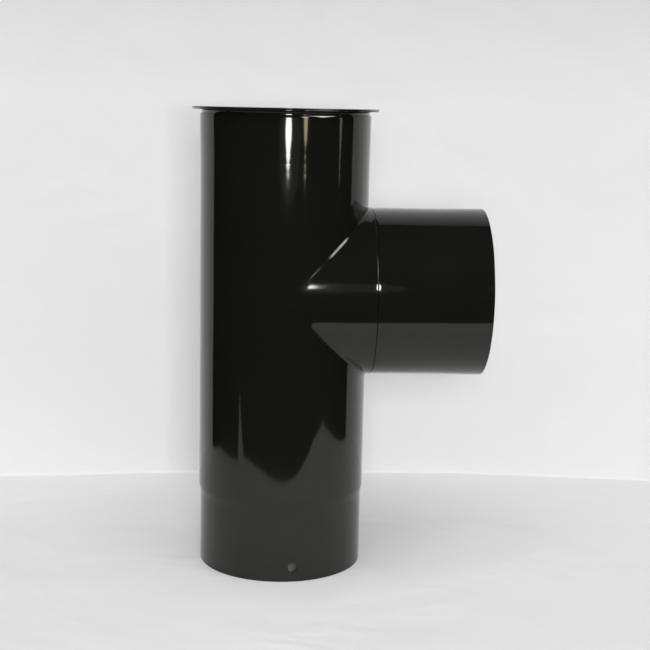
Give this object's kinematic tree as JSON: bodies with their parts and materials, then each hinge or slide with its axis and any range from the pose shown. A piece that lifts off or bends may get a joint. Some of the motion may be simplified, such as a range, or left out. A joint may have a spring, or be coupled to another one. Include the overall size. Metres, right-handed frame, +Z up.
{
  "type": "stove pipe tee",
  "caption": "Black enamelled stove pipe tee: upright run with a reduced spigot foot, a level branch of the same bore, and a push-in cap that lifts off the upper mouth.",
  "frame": {"origin": "centre of the part's bounding box at floor level; the run's axis is 47.85 mm from it towards -X", "axes": "+Z up along the run, +X out along the branch, -Y towards the side with the hanging hole"},
  "size_m": [0.2616, 0.1658, 0.4111],
  "materials": {
    "black_enamel": "gloss vitreous enamel on steel"
  },
  "bodies": {
    "tee": {"run_pipe": "black_enamel", "branch_pipe": "black_enamel"},
    "cap": {"cap_plate": "black_enamel", "cap_collar": "black_enamel"}
  },
  "joints": [
    {"name": "cap_lift", "type": "slide", "parent": "tee", "child": "cap", "axis": [0, 0, 1], "range_m": [0, 0.05]}
  ]
}
